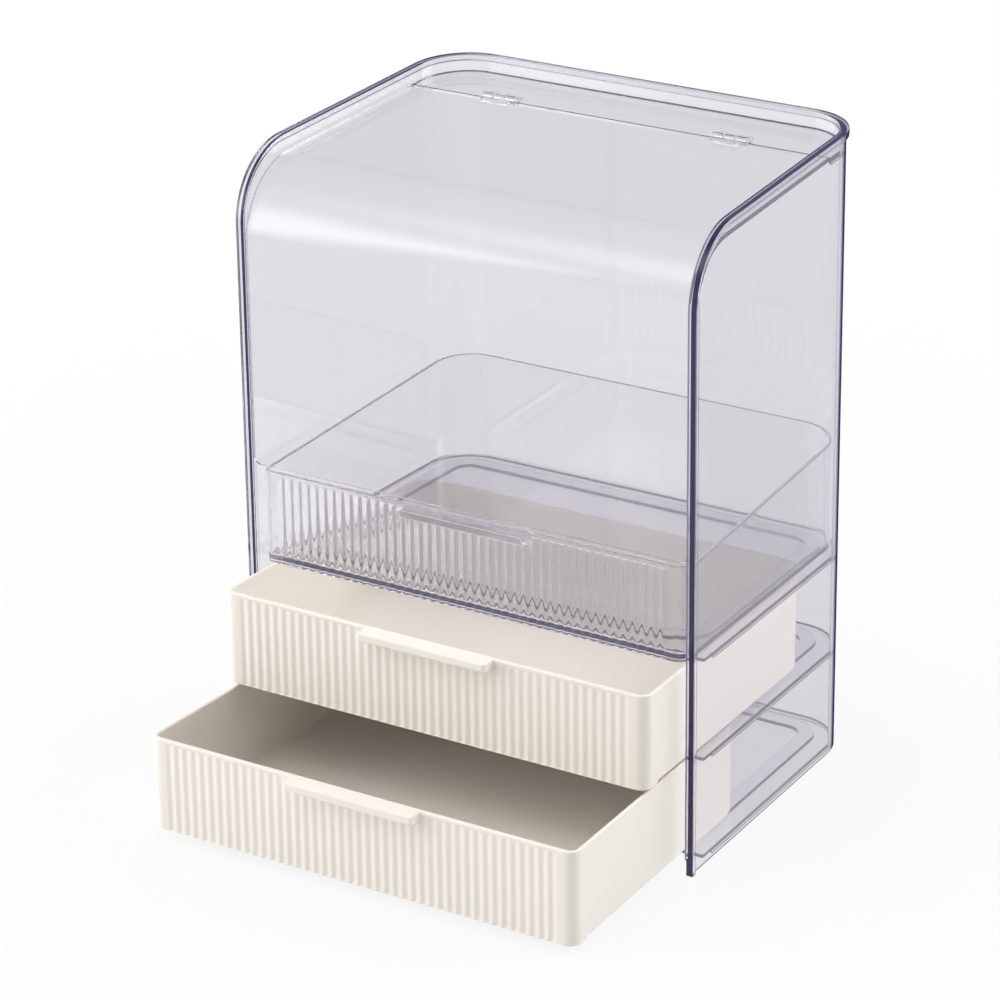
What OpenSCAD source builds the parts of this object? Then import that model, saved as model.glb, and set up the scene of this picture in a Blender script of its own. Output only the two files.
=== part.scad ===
// Dustproof makeup organizer: a clear casing with a hinged curved lid, a clear
// cosmetics drawer and two fluted cream drawers on three snap-in shelves.
// Frame: origin at the middle of the casing's footprint, on the table.
// +X to the right, -Y to the front (drawers pull out that way), +Z up.

/* [Casing] */
// Outer width at the front opening
width_front = 250; // [210:1:290]
// Outer width at the back wall
width_rear = 237; // [200:1:286]
// Depth from the front edges to the back wall
depth = 177; // [150:1:220]
// Height of the side walls, measured at the front
height = 318; // [285:1:360]
// Rise of the top edge from front to back
top_rise = 8.3; // [0:0.1:14]
// Wall thickness
wall = 2.2; // [1.6:0.1:3]
// Radius of the two upright back corners
corner_r = 28; // [16:0.5:40]
// Radius of the big curve at the top front
front_r = 37; // [20:0.5:60]

/* [Rim] */
// How far the rim stands proud of the outer wall
rim_out = 1.4; // [0.5:0.1:2.5]
// How far the rim thickens the wall inwards
rim_in = 0.9; // [0.4:0.1:1.6]
// Width of the rim band along the edge
rim_h = 3.4; // [2:0.1:6]
// Height above the table at which the inner rim stops
rim_stop = 8; // [4:0.5:16]

/* [Shelves] */
// Top of the base shelf above the table
shelf_base = 4.4; // [3.6:0.1:10]
// Vertical spacing of the three shelves
pitch = 51.6; // [44:0.1:60]
// Shelf plate thickness
shelf_t = 1.8; // [1.4:0.1:2.6]
// Set-back of the shelf's front edge from the casing's front
shelf_setback = 15; // [8:0.5:30]
// Radius of the shelf's front corners
shelf_front_r = 1; // [1:0.5:6]
// Gap between shelf edge and wall
shelf_gap = 0.2; // [0.1:0.05:0.5]
// Height of the runner band that the drawers slide on
band_h = 1.6; // [0.8:0.1:3]
// Distance of the runner band from the shelf's edge
band_inset = 9; // [4:0.5:14]
// Width of the runner band
band_w = 8; // [4:0.5:12]
// Width and height of the ledges that carry the shelves
ledge = 1.2; // [0.6:0.1:1.8]

/* [Drawers] */
// Depth of a drawer from face to back
drawer_l = 168.5; // [120:0.5:170]
// Height of a drawer's side walls
drawer_h = 47.4; // [36:0.1:47.5]
// Wall thickness of a drawer
drawer_wall = 2; // [1.4:0.1:3]
// Floor thickness of a drawer
drawer_floor = 2; // [1.4:0.1:3]
// Gap between a drawer's side and the casing wall
drawer_gap = 3.2; // [2.2:0.1:6]
// Running clearance under a drawer
drawer_lift = 0.3; // [0.2:0.05:0.5]
// Set-back of the closed drawer faces from the casing's front
face_setback = 4; // [1:0.5:7]
// Radius of a drawer's front corners
face_r = 5.5; // [4:0.5:12]
// Radius of a drawer's back corners
drawer_r = 23; // [10:0.5:26]
// Drop of the face lip below the drawer's sides
lip_drop = 1.4; // [1:0.1:3]
// Length of the lip around the front corners
lip_l = 10.5; // [8:0.5:10.5]
// Rise of the clear drawer's side rims from front to back
rim_rise = 10; // [0:0.5:14]
// How far the upper cream drawer is pulled out
upper_out = 35; // [0:0.5:120]
// How far the lower cream drawer is pulled out
lower_out = 99.5; // [0:0.5:120]

/* [Fluting] */
// Spacing of the flutes
flute_pitch = 5; // [4:0.1:8]
// Depth of the grooves between the flutes
flute_depth = 0.8; // [0.3:0.05:1.4]
// Width of the plain margin beside the corners
flute_margin = 0.5; // [0:0.5:10]
// Height of the plain band under a drawer's rim
flute_band = 2.6; // [1:0.1:10]

/* [Handles] */
// Length of a handle bar
handle_l = 72; // [40:1:110]
// How far a handle stands out from the face
handle_d = 8; // [5:0.5:14]
// Thickness of the handle's front edge
handle_t = 4; // [2:0.1:6]
// Height of the handle where it meets the face
handle_root = 6.5; // [4:0.1:10]
// Corner radius of the handle seen from above
handle_r = 1.5; // [0.5:0.1:3]

/* [Lid] */
// Sheet thickness of the lid and the hinge strip
lid_t = 2.4; // [1.6:0.1:3.2]
// Drop of the lid's top below the rim
lid_drop = 7.9; // [5:0.1:12]
// Set-back of the lid's front from the casing's front
lid_setback = 1.1; // [0.4:0.1:4]
// Radius of the lid's front curve
lid_r = 37; // [20:0.5:60]
// Gap between the lid's sides and the inner rim
lid_gap = 0.4; // [0.4:0.1:1.5]
// Height of the lid's lower edge above the clear drawer's front rim
lid_clear = 3.4; // [0.5:0.1:6]
// Radius of the lid's lower corners
lid_corner_r = 4; // [1:0.5:8]

/* [Hinges] */
// Depth of the fixed strip behind the lid
strip_l = 33.8; // [26:0.1:50]
// Gap between lid and strip
seam = 0.5; // [0.3:0.1:1]
// Distance of each hinge from the middle
hinge_x = 65; // [30:1:90]
// Width of a hinge
hinge_w = 19.2; // [14:0.1:30]
// Distance from the hinge axis to the outer edge of a leaf
leaf_l = 6.5; // [6:0.5:14]
// Width of the leaf on the lid
lid_leaf_w = 15; // [8:0.5:16]
// Thickness of a hinge leaf
leaf_t = 1.2; // [0.8:0.1:2]
// Outer radius of the hinge barrel
barrel_r = 2.1; // [1.7:0.1:3]
// Height of the hinge axis above the lid's surface
axis_h = 0.9; // [0.4:0.1:2]
// Radius of the hinge pin
pin_r = 0.8; // [0.5:0.05:1.2]
// Running clearance around the pin
pin_gap = 0.05; // [0.02:0.01:0.1]
// Gap between neighbouring knuckles
knuckle_gap = 0.3; // [0.2:0.1:0.6]
// Gap between the barrel and the edges of its notch
notch_gap = 0.7; // [0.3:0.1:1.5]

/* [Hidden] */
$fn = 96;

// Overshoot of cutting tools past the surface they cut
over = 1;
// Depth to which joined shapes run into each other
bond = 0.4;
front_y = -depth / 2;
rear_y = depth / 2;
// Sideways lean of the side walls per millimetre of depth
taper = (width_front - width_rear) / 2 / depth;
lean_deg = atan(taper);
// Slope of the top edge
slope = top_rise / depth;
slope_deg = atan(slope);
height_rear = height + top_rise;

shelf_edge = wall + shelf_gap;
plate_front_y = front_y + shelf_setback;
plate_rear_y = rear_y - shelf_edge;
plate_corner_r = corner_r - shelf_edge;
shelf_top = [for (i = [0:2]) shelf_base + i * pitch];
drawer_z = [for (i = [0:2]) shelf_top[i] + band_h + drawer_lift];
drawer_inset = wall + drawer_gap;
face_closed_y = front_y + face_setback;
back_closed_y = face_closed_y + drawer_l;
clear_rim_z = drawer_z[2] + drawer_h;

lid_edge = wall + rim_in + lid_gap;
lid_front_y = front_y + lid_setback;
lid_low_z = clear_rim_z + lid_clear;
strip_front_y = plate_rear_y - strip_l;
lid_rear_y = strip_front_y - seam;
hinge_y = strip_front_y - seam / 2;
hinge_z = top_z(hinge_y, lid_drop) + axis_h / cos(slope_deg);
knuckle_l = (hinge_w - 2 * knuckle_gap) / 3;
notch_half = barrel_r + notch_gap;

clear_tint = [0.86, 0.85, 0.94, 0.35];
cream = [0.95, 0.93, 0.88];
steel = [0.75, 0.75, 0.77];

// ---------- shared outlines ----------

// Half the outer width at depth y
function half_w(y) = width_front / 2 - taper * (y - front_y);

// Height of the sloping top edge at depth y, lowered by drop
function top_z(y, drop = 0) = height - drop + slope * (y - front_y);

// Centre of a corner circle of radius r that touches the inset side wall
function corner_x(y, inset, r) = half_w(y) - inset - r / cos(lean_deg);

// Plan view: tapered box, inset from the outer wall, with rounded back corners
// and, where front_corner is given, rounded front corners
module plan(inset, y0, y1, back_corner, front_corner = 0) {
    yb = y1 - back_corner;
    xb = corner_x(yb, inset, back_corner);
    yf = y0 + front_corner;
    xf = corner_x(yf, inset, front_corner);
    back = [
        [xb + back_corner * cos(lean_deg), yb + back_corner * sin(lean_deg)], [xb, y1],
        [-xb, y1], [-xb - back_corner * cos(lean_deg), yb + back_corner * sin(lean_deg)]];
    front = front_corner > 0
        ? [[-xf - front_corner * cos(lean_deg), yf + front_corner * sin(lean_deg)], [-xf, y0],
            [xf, y0], [xf + front_corner * cos(lean_deg), yf + front_corner * sin(lean_deg)]]
        : [[-xf, y0], [xf, y0]];
    union() {
        polygon(concat(front, back));
        for (side = [-1, 1]) {
            translate([side * xb, yb]) circle(back_corner);
            if (front_corner > 0) translate([side * xf, yf]) circle(front_corner);
        }
    }
}

// Side view: everything below the sloping top and behind the front curve
module side_view(drop, setback, r, y1 = rear_y) {
    y0 = front_y + setback;
    yc = y0 + r;
    zc = top_z(yc, drop) - r / cos(slope_deg);
    union() {
        polygon([
            [y0, -over], [y1, -over], [y1, top_z(y1, drop)],
            [yc - r * sin(slope_deg), zc + r * cos(slope_deg)], [y0, zc]]);
        translate([yc, zc]) circle(r, $fn = 180);
    }
}

// Side view of a slab that lies along the sloping top, between y0 and y1
module slope_slab(y0, y1, drop, thick) {
    low = drop + thick / cos(slope_deg);
    polygon([
        [y0, top_z(y0, low)], [y1, top_z(y1, low)],
        [y1, top_z(y1, drop)], [y0, top_z(y0, drop)]]);
}

// Extrudes a side view along X, past both side walls
module across() {
    reach = width_front + 2 * rim_out + 2 * over;
    translate([-reach / 2, 0, 0]) rotate([90, 0, 90]) linear_extrude(reach) children();
}

// ---------- casing ----------

// Space inside the walls, open to the front
module inner_space(inset, z0, z1) {
    translate([0, 0, z0]) linear_extrude(z1 - z0)
        plan(inset, front_y - over, rear_y - inset, corner_r - inset);
}

// Side and back walls up to the sloping top
module walls() {
    difference() {
        intersection() {
            linear_extrude(height_rear + over) plan(0, front_y, rear_y, corner_r);
            across() side_view(0, 0, front_r);
        }
        inner_space(wall, -over, height_rear + 2 * over);
    }
}

// Thickened rim along the top and front edges; its inner side stops above the table
module rim() {
    difference() {
        intersection() {
            linear_extrude(height_rear + over)
                plan(-rim_out, front_y, rear_y + rim_out, corner_r + rim_out);
            across() difference() {
                side_view(0, 0, front_r, rear_y + rim_out);
                side_view(rim_h / cos(slope_deg), rim_h, front_r - rim_h,
                    rear_y + rim_out + over);
            }
        }
        inner_space(wall + rim_in, -over, height_rear + 2 * over);
        inner_space(wall, -over, rim_stop);
    }
}

// Ledge that runs round the inside of the walls, with its top at z
module ledge_ring(z) {
    ledge_front_y = plate_front_y + band_inset;
    translate([0, 0, z - ledge]) linear_extrude(ledge) difference() {
        plan(wall - bond, ledge_front_y, rear_y - wall + bond, corner_r - wall + bond);
        plan(wall + ledge, ledge_front_y - over, rear_y - wall - ledge,
            corner_r - wall - ledge);
    }
}

// Sloping ledge under the hinge strip
module strip_ledge() {
    intersection() {
        linear_extrude(height_rear) difference() {
            plan(wall - bond, front_y, rear_y - wall + bond, corner_r - wall + bond);
            plan(wall + ledge, front_y - over, rear_y - wall - ledge, corner_r - wall - ledge);
        }
        across() slope_slab(strip_front_y + seam, rear_y,
            lid_drop + lid_t / cos(slope_deg), ledge);
    }
}

module casing() {
    color(clear_tint) union() {
        walls();
        rim();
        for (z = shelf_top) ledge_ring(z - shelf_t);
        strip_ledge();
    }
}

// ---------- shelves ----------

// Plate with a raised runner band in the shape of a rounded rectangle
module shelf(z) {
    band_outer_r = plate_corner_r - band_inset;
    band_inner_r = max(band_outer_r - band_w, shelf_front_r);
    band_in = band_inset + band_w;
    color(clear_tint) union() {
        translate([0, 0, z - shelf_t]) linear_extrude(shelf_t)
            plan(shelf_edge, plate_front_y, plate_rear_y, plate_corner_r, shelf_front_r);
        translate([0, 0, z - bond]) linear_extrude(band_h + bond) difference() {
            plan(shelf_edge + band_inset, plate_front_y + band_inset,
                plate_rear_y - band_inset, band_outer_r, band_outer_r);
            plan(shelf_edge + band_in, plate_front_y + band_in,
                plate_rear_y - band_in, band_inner_r, band_inner_r);
        }
    }
}

module base_shelf() {
    shelf(shelf_top[0]);
}

module middle_shelf() {
    shelf(shelf_top[1]);
}

module upper_shelf() {
    shelf(shelf_top[2]);
}

// ---------- drawers ----------

// Outline of a drawer seen from above, in its closed place
module drawer_plan(inset) {
    plan(drawer_inset + inset, face_closed_y + inset, back_closed_y - inset,
        drawer_r - inset, face_r - inset);
}

// Open tray with the face at the front
module tray(z, h) {
    difference() {
        translate([0, 0, z]) linear_extrude(h) drawer_plan(0);
        translate([0, 0, z + drawer_floor]) linear_extrude(h) drawer_plan(drawer_wall);
    }
}

// Row of half-round flutes standing on the drawer's face
module flute_row() {
    flute_r = (pow(flute_pitch / 2, 2) + pow(flute_depth, 2)) / (2 * flute_depth);
    flat_half = corner_x(face_closed_y + face_r, drawer_inset, face_r) - flute_margin;
    count = floor(2 * flat_half / flute_pitch);
    intersection() {
        union() {
            for (i = [0:count - 1])
                translate([(i - (count - 1) / 2) * flute_pitch,
                    face_closed_y - flute_depth + flute_r]) circle(flute_r, $fn = 64);
        }
        translate([-count * flute_pitch / 2, face_closed_y - flute_depth - over])
            square([count * flute_pitch, flute_depth + over + bond]);
    }
}

// Handle bar: flat top, upright front edge and a sloping underside
module handle(rim_z) {
    root_y = face_closed_y + drawer_wall / 2;
    face_y = face_closed_y - flute_depth;
    tip_y = face_y - handle_d;
    intersection() {
        translate([-handle_l / 2, 0, 0]) rotate([90, 0, 90]) linear_extrude(handle_l) polygon([
            [root_y, rim_z], [tip_y, rim_z], [tip_y, rim_z - handle_t],
            [face_y, rim_z - handle_root], [root_y, rim_z - handle_root]]);
        translate([0, 0, rim_z - handle_root - over]) linear_extrude(handle_root + 2 * over)
            union() {
                for (side = [-1, 1])
                    translate([side * (handle_l / 2 - handle_r), tip_y + handle_r])
                        circle(handle_r, $fn = 48);
                translate([-handle_l / 2 + handle_r, tip_y])
                    square([handle_l - 2 * handle_r, handle_d]);
                translate([-handle_l / 2, tip_y + handle_r])
                    square([handle_l, root_y - tip_y]);
            }
    }
}

// Face lip that hangs below the sides, round both front corners
module face_lip(z) {
    translate([0, 0, z - lip_drop]) linear_extrude(lip_drop + bond) intersection() {
        difference() {
            drawer_plan(0);
            drawer_plan(drawer_wall);
        }
        translate([-width_front / 2, face_closed_y - over])
            square([width_front, lip_l + over]);
    }
}

// Drawer in its closed place on its shelf; rise lifts the rims towards the back
module drawer(z, rise = 0) {
    rim_z = z + drawer_h;
    union() {
        difference() {
            tray(z, drawer_h + rise);
            if (rise > 0) across() polygon([
                [face_closed_y - over, rim_z], [face_closed_y + face_r, rim_z],
                [back_closed_y, rim_z + rise], [back_closed_y, rim_z + rise + over],
                [face_closed_y - over, rim_z + rise + over]]);
        }
        face_lip(z);
        translate([0, 0, z - lip_drop]) linear_extrude(drawer_h + lip_drop - flute_band)
            flute_row();
        handle(rim_z);
    }
}

module clear_drawer() {
    color(clear_tint) drawer(drawer_z[2], rim_rise);
}

module upper_drawer() {
    color(cream) translate([0, -upper_out, 0]) drawer(drawer_z[1]);
}

module lower_drawer() {
    color(cream) translate([0, -lower_out, 0]) drawer(drawer_z[0]);
}

// ---------- lid and hinge strip ----------

// Notches at the seam that make room for the hinge barrels
module hinge_notches() {
    notch_w = hinge_w + 2 * knuckle_gap;
    notch_low_z = hinge_z - axis_h - 2 * lid_t;
    for (side = [-1, 1])
        translate([side * hinge_x - notch_w / 2, hinge_y - notch_half, notch_low_z])
            cube([notch_w, 2 * notch_half, 4 * lid_t]);
}

// Curved sheet of the lid, as wide as the gap between the rims
module lid_sheet() {
    intersection() {
        across() difference() {
            side_view(lid_drop, lid_setback, lid_r, lid_rear_y);
            side_view(lid_drop + lid_t / cos(slope_deg), lid_setback + lid_t,
                lid_r - lid_t, rear_y);
        }
        linear_extrude(height_rear) polygon([
            [-half_w(front_y) + lid_edge, front_y], [half_w(front_y) - lid_edge, front_y],
            [half_w(rear_y) - lid_edge, rear_y], [-half_w(rear_y) + lid_edge, rear_y]]);
    }
}

// Everything above the lid's lower edge, with small rounded lower corners
module above_lid_edge() {
    low_half = half_w(lid_front_y) - lid_edge;
    wide = width_front / 2;
    translate([0, rear_y, 0]) rotate([90, 0, 0]) linear_extrude(depth) union() {
        for (side = [-1, 1])
            translate([side * (low_half - lid_corner_r), lid_low_z + lid_corner_r])
                circle(lid_corner_r, $fn = 64);
        polygon([
            [-low_half + lid_corner_r, lid_low_z], [low_half - lid_corner_r, lid_low_z],
            [low_half, lid_low_z + lid_corner_r], [wide, lid_low_z + lid_corner_r],
            [wide, height_rear], [-wide, height_rear],
            [-wide, lid_low_z + lid_corner_r], [-low_half, lid_low_z + lid_corner_r]]);
    }
}

module lid() {
    color(clear_tint) difference() {
        intersection() {
            lid_sheet();
            above_lid_edge();
        }
        hinge_notches();
    }
}

// Fixed strip behind the lid that carries the hinges
module hinge_strip() {
    color(clear_tint) difference() {
        intersection() {
            linear_extrude(height_rear)
                plan(shelf_edge, front_y, plate_rear_y, plate_corner_r);
            across() slope_slab(strip_front_y, rear_y, lid_drop, lid_t);
        }
        hinge_notches();
    }
}

// ---------- hinges ----------

// Moves a hinge part, drawn round the axis at the origin, to its place
module at_hinge(side) {
    translate([side * hinge_x, hinge_y, hinge_z]) rotate([slope_deg, 0, 0]) children();
}

// Round bar along X, from x0
module x_bar(x0, l, r) {
    translate([x0, 0, 0]) rotate([0, 90, 0]) cylinder(h = l, r = r, $fn = 48);
}

// Leaf with knuckles that start at the positions in starts; dir is +1 for the
// leaf on the strip and -1 for the leaf on the lid
module leaf(starts, dir) {
    plate_w = dir > 0 ? hinge_w : min(lid_leaf_w, hinge_w);
    plate_y = barrel_r + knuckle_gap;
    arm_l = plate_y + bond;
    difference() {
        union() {
            translate([-plate_w / 2, dir > 0 ? plate_y : -leaf_l, -axis_h])
                cube([plate_w, leaf_l - plate_y, leaf_t]);
            for (x = starts) {
                x_bar(x, knuckle_l, barrel_r);
                translate([x, dir > 0 ? 0 : -arm_l, -axis_h]) cube([knuckle_l, arm_l, leaf_t]);
            }
        }
        x_bar(-hinge_w, 2 * hinge_w, pin_r + pin_gap);
    }
}

module strip_leaf(side) {
    color(clear_tint) at_hinge(side) leaf([-hinge_w / 2, hinge_w / 2 - knuckle_l], 1);
}

module lid_leaf(side) {
    color(clear_tint) at_hinge(side) leaf([-knuckle_l / 2], -1);
}

module hinge_pin(side) {
    color(steel) at_hinge(side) x_bar(-hinge_w / 2, hinge_w, pin_r);
}

module left_strip_leaf() {
    strip_leaf(-1);
}

module left_lid_leaf() {
    lid_leaf(-1);
}

module left_hinge_pin() {
    hinge_pin(-1);
}

module right_strip_leaf() {
    strip_leaf(1);
}

module right_lid_leaf() {
    lid_leaf(1);
}

module right_hinge_pin() {
    hinge_pin(1);
}

casing();
base_shelf();
middle_shelf();
upper_shelf();
hinge_strip();
lid();
left_strip_leaf();
left_lid_leaf();
left_hinge_pin();
right_strip_leaf();
right_lid_leaf();
right_hinge_pin();
clear_drawer();
upper_drawer();
lower_drawer();
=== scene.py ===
"""Looks of a dustproof makeup organizer.

A clear violet-tinted casing with a hinged curved lid holds a clear cosmetics
drawer and two fluted cream drawers on three shelves. Every sub-assembly is a
class: it carries its sizes in millimetres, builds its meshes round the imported
frame, and dresses them.
"""

from __future__ import annotations

import logging
import math
from collections.abc import Sequence
from dataclasses import dataclass, field
from enum import Enum

import bmesh
import bpy
from mathutils import Matrix, Vector


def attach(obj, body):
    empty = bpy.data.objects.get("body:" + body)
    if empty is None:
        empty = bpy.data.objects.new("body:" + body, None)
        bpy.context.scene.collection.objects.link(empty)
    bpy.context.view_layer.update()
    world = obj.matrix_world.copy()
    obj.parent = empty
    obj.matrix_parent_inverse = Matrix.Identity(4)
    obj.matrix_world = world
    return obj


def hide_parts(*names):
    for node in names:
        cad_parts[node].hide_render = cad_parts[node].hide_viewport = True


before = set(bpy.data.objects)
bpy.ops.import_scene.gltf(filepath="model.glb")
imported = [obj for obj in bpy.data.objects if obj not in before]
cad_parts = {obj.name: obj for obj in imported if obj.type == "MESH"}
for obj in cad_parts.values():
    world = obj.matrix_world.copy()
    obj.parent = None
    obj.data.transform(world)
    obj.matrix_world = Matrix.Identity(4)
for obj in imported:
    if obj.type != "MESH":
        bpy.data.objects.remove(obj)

log = logging.getLogger("organizer")

MM = 0.001
WHITE = (1.0, 1.0, 1.0, 1.0)

MERGE = 1e-7  # metres within which points of a new mesh are one
WELD = 1e-6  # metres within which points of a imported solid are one
SAME = 1e-6  # millimetres within which two depths are the same
FACE_NEAR = 1e-5  # metres within which a point is on a drawer's face
FLAT_TURN = 0.2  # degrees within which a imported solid's triangles are one face
REAL_TURN = 32.0  # degrees over which an edge is a real edge
SOFT_TURN = 40.0  # the same for a drawer, whose curves have fewer facets

PLASTIC_IOR = 1.5
# roughness of the diffuse edge colour painted where plastic is looked along
EDGE_PAINT_ROUGH = 0.6
# painted shade: colour of the dark line painted along the clear drawer's base
PAINTED_LINE_SHADE = (0.06, 0.05, 0.13)
FOLD_SPAN = (0.30, 0.50)  # facing, inside the sheet, over which fold_share comes in
LEFT_SPAN = (-0.5, -0.05)  # sideways normal, over which lit_side gives way
SIDE_SPAN = (0.1, 0.3)  # sideways normal, over which a lid's side edge begins
CORNER_SPAN = (0.08, 0.25)  # product of both level normals, from flat wall to corner
RIM_BAND = (5.5, 4.5)  # millimetres from the casing's edge, over which the rim begins
REAR_X = (86.0, 108.0)  # millimetres from the middle, over which the rear wall ends
REAR_Y = 78.0  # depth in millimetres at which the rear wall begins
CREAM_GROOVE = 0.58  # millimetres, shallower than the clear drawer's

Point = tuple[float, float, float]
Colour = tuple[float, float, float]
Pair = tuple[float, float]
Socket = bpy.types.NodeSocket


@dataclass(frozen=True)
class Bend:
    """Centre of the bend in the casing's front edges, in millimetres.

    z is that of the centre where y is 0, since the top rises by slope.
    """

    y: float = -51.5
    z: float = 285.1
    slope: float = 0.0469
    radius: float = 37.0


BEND = Bend()


class EdgePaint(Enum):
    """Which faces that turn away get the painted edge colour."""

    ALL = "all"
    RIM = "rim"  # the rim, the front edges and the bent corners
    SIDES = "sides"  # edges to the left and right


class Side(Enum):
    """Which of the two hinges a piece belongs to."""

    LEFT = "left"
    RIGHT = "right"


class Leaf(Enum):
    """Which leaf of a hinge a piece is, with the body it rides on."""

    STRIP = "casing"
    LID = "lid"


# -------------------- mesh helpers


def object_from(
    name: str, verts: Sequence[Point], faces: Sequence[Sequence[int]]
) -> bpy.types.Object:
    """Makes a mesh object from points in millimetres.

    Args:
        name: Name of the object and its mesh.
        verts: Points in millimetres.
        faces: Corner indices of each face.

    Returns:
        The linked object, at the origin, with doubled points merged.
    """
    mesh = bpy.data.meshes.new(name)
    mesh.from_pydata([Vector(v) * MM for v in verts], [], faces)
    bm = bmesh.new()
    bm.from_mesh(mesh)
    bmesh.ops.remove_doubles(bm, verts=bm.verts, dist=MERGE)
    bmesh.ops.dissolve_degenerate(bm, edges=bm.edges, dist=MERGE)
    bmesh.ops.recalc_face_normals(bm, faces=bm.faces)
    bm.to_mesh(mesh)
    bm.free()
    return linked(name, mesh)


def linked(name: str, mesh: bpy.types.Mesh) -> bpy.types.Object:
    """Links a new object that shows mesh, and returns it."""
    obj = bpy.data.objects.new(name, mesh)
    bpy.context.scene.collection.objects.link(obj)
    return obj


def baked(obj: bpy.types.Object) -> bpy.types.Object:
    """Turns an object's modifiers into its plain mesh.

    Args:
        obj: Mesh object with modifiers.

    Returns:
        The same object, without modifiers.
    """
    graph = bpy.context.evaluated_depsgraph_get()
    mesh = bpy.data.meshes.new_from_object(obj.evaluated_get(graph), depsgraph=graph)
    mesh.name = obj.name
    old = obj.data
    obj.modifiers.clear()
    obj.data = mesh
    if old.users == 0:
        bpy.data.meshes.remove(old)
    return obj


def bevelled(
    obj: bpy.types.Object, width: float, segments: int, angle: float, miter: str = "MITER_SHARP"
) -> bpy.types.Object:
    """Rounds an object's real edges.

    Args:
        obj: Closed mesh object.
        width: Width of the rounding, in millimetres.
        segments: Facets across the rounding.
        angle: Edges sharper than this, in degrees, are rounded.
        miter: How roundings meet at an outer corner.

    Returns:
        The same object.
    """
    bevel = obj.modifiers.new("ease", "BEVEL")
    bevel.width = width * MM
    bevel.segments = segments
    bevel.limit_method = "ANGLE"
    bevel.angle_limit = math.radians(angle)
    bevel.miter_outer = miter
    return baked(obj)


def smoothed(obj: bpy.types.Object, angle: float = REAL_TURN) -> bpy.types.Object:
    """Shades an object smoothly, with its large faces kept flat.

    Args:
        obj: Mesh object.
        angle: Edges sharper than this, in degrees, stay sharp.

    Returns:
        The same object.
    """
    obj.data.polygons.foreach_set("use_smooth", [True] * len(obj.data.polygons))
    obj.data.set_sharp_from_angle(angle=math.radians(angle))
    weigh = obj.modifiers.new("weigh", "WEIGHTED_NORMAL")
    weigh.mode = "FACE_AREA"
    weigh.weight = 100
    weigh.keep_sharp = True
    return baked(obj)


def eased(obj: bpy.types.Object, width: float, segments: int = 2) -> bpy.types.Object:
    """Rounds an object's real edges and leaves its curved faces smooth.

    Args:
        obj: Closed mesh object.
        width: Width of the rounding, in millimetres.
        segments: Facets across the rounding.

    Returns:
        The same object.
    """
    return smoothed(bevelled(obj, width, segments, REAL_TURN, "MITER_ARC"))


def copy_of(node: str, name: str, width: float) -> bpy.types.Object:
    """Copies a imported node's solid, joins its triangles and rounds its edges.

    Args:
        node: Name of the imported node.
        name: Name of the new piece.
        width: Width of the rounding, in millimetres.

    Returns:
        The new piece.
    """
    mesh = bpy.data.meshes.new(name)
    bm = bmesh.new()
    bm.from_mesh(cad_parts[node].data)
    bmesh.ops.remove_doubles(bm, verts=bm.verts, dist=WELD)
    bmesh.ops.dissolve_limit(
        bm, angle_limit=math.radians(FLAT_TURN), verts=bm.verts, edges=bm.edges
    )
    bm.to_mesh(mesh)
    bm.free()
    return eased(linked(name, mesh), width)


def placed(
    obj: bpy.types.Object, finish: "Finish", body: str, node: str
) -> bpy.types.Object:
    """Dresses a piece and ties it to the frame.

    Args:
        obj: The finished piece.
        finish: Its finish.
        body: The body it rides on.
        node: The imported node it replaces.

    Returns:
        The same piece.
    """
    obj.data.materials.clear()
    obj.data.materials.append(finish.material())
    obj.visible_shadow = finish.shades
    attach(obj, body)
    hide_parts(node)
    log.info("%s rides %s, %d faces", obj.name, body, len(obj.data.polygons))
    return obj


# -------------------- node helpers


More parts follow.
